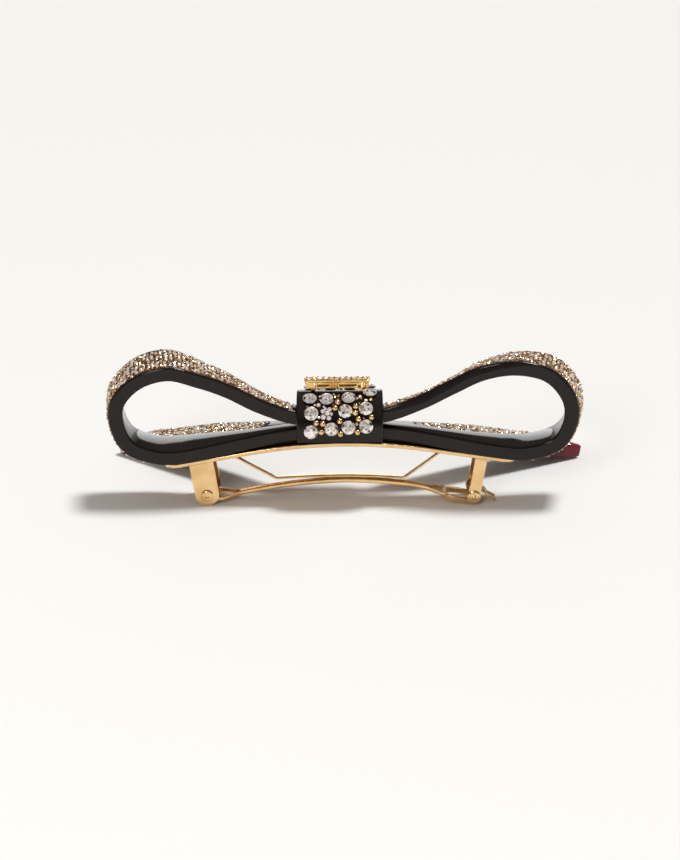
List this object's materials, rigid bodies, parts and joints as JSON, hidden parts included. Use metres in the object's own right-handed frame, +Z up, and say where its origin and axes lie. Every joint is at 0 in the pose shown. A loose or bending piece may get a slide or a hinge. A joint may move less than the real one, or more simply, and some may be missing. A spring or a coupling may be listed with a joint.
{
  "type": "bow hair clip",
  "caption": "Resin ribbon bow with pave-set faces, a stone-set knot and two tails, on an arched gilt French clip with lever, spring bar and catch.",
  "frame": {"origin": "middle of the bounding box's underside, on the surface that the closed clip stands on", "axes": "+X along the bow, away from the clip's hinge; +Y towards the tails; +Z up, from the clip to the knot"},
  "size_m": [0.0982, 0.037, 0.0312],
  "materials": {
    "resin": "polished, black-brown with burgundy thin edges",
    "gold_metal": "polished light gold plating",
    "crystal": "faceted clear crystal on foil",
    "pave_stones": "bed of small champagne crystals and gilt beads"
  },
  "bodies": {
    "lever": {"lever_arm": "gold_metal"},
    "bow": {"bow_loop_left": "resin", "bow_loop_right": "resin", "tail_left": "resin", "tail_right": "resin", "knot_band": "resin", "pave_loop_left": "pave_stones", "pave_loop_right": "pave_stones", "pave_tail_left": "pave_stones", "pave_tail_right": "pave_stones", "ornament_pave": "pave_stones", "base_plate": "gold_metal", "hinge_pin": "gold_metal", "catch_rivet": "gold_metal", "ornament_gallery": "gold_metal", "ornament_tray": "gold_metal", "knot_bead_1": "gold_metal", "knot_bead_2": "gold_metal", "knot_bead_3": "gold_metal", "knot_bead_4": "gold_metal", "knot_bead_5": "gold_metal", "knot_bead_6": "gold_metal", "knot_bead_7": "gold_metal", "knot_bead_8": "gold_metal", "knot_bead_9": "gold_metal", "knot_bead_10": "gold_metal", "knot_bead_11": "gold_metal", "knot_bead_12": "gold_metal", "knot_crystal_front_low_1": "crystal", "knot_crystal_front_low_2": "crystal", "knot_crystal_front_low_3": "crystal", "knot_crystal_front_low_4": "crystal", "knot_crystal_front_mid_1": "crystal", "knot_crystal_front_mid_2": "crystal", "knot_crystal_front_mid_3": "crystal", "knot_crystal_front_mid_4": "crystal", "knot_crystal_front_top_1": "crystal", "knot_crystal_front_top_2": "crystal", "knot_crystal_front_top_3": "crystal", "knot_crystal_front_top_4": "crystal", "knot_crystal_back_top_1": "crystal", "knot_crystal_back_top_2": "crystal", "knot_crystal_back_top_3": "crystal", "knot_crystal_back_top_4": "crystal", "knot_crystal_back_mid_1": "crystal", "knot_crystal_back_mid_2": "crystal", "knot_crystal_back_mid_3": "crystal", "knot_crystal_back_mid_4": "crystal", "knot_crystal_back_low_1": "crystal", "knot_crystal_back_low_2": "crystal", "knot_crystal_back_low_3": "crystal", "knot_crystal_back_low_4": "crystal"},
    "latch": {"catch_latch": "gold_metal"},
    "spring_bar": {"tension_bar": "gold_metal"}
  },
  "joints": [
    {"name": "clip_hinge", "type": "hinge", "parent": "lever", "child": "bow", "pos_m": [-0.02864, -0.01234, 0.00215], "axis": [0, -1, 0], "range_deg": [0, 60]},
    {"name": "catch_flex", "type": "hinge", "parent": "bow", "child": "latch", "pos_m": [0.02486, -0.01234, 0.00185], "axis": [0, -1, 0], "range_deg": [0, 12], "stiffness_Nm_per_rad": 0.01},
    {"name": "bar_press", "type": "slide", "parent": "bow", "child": "spring_bar", "axis": [0, 0, 1], "range_m": [0, 0.0025], "stiffness_N_per_m": 200, "deforming": ["tension_bar"]}
  ]
}
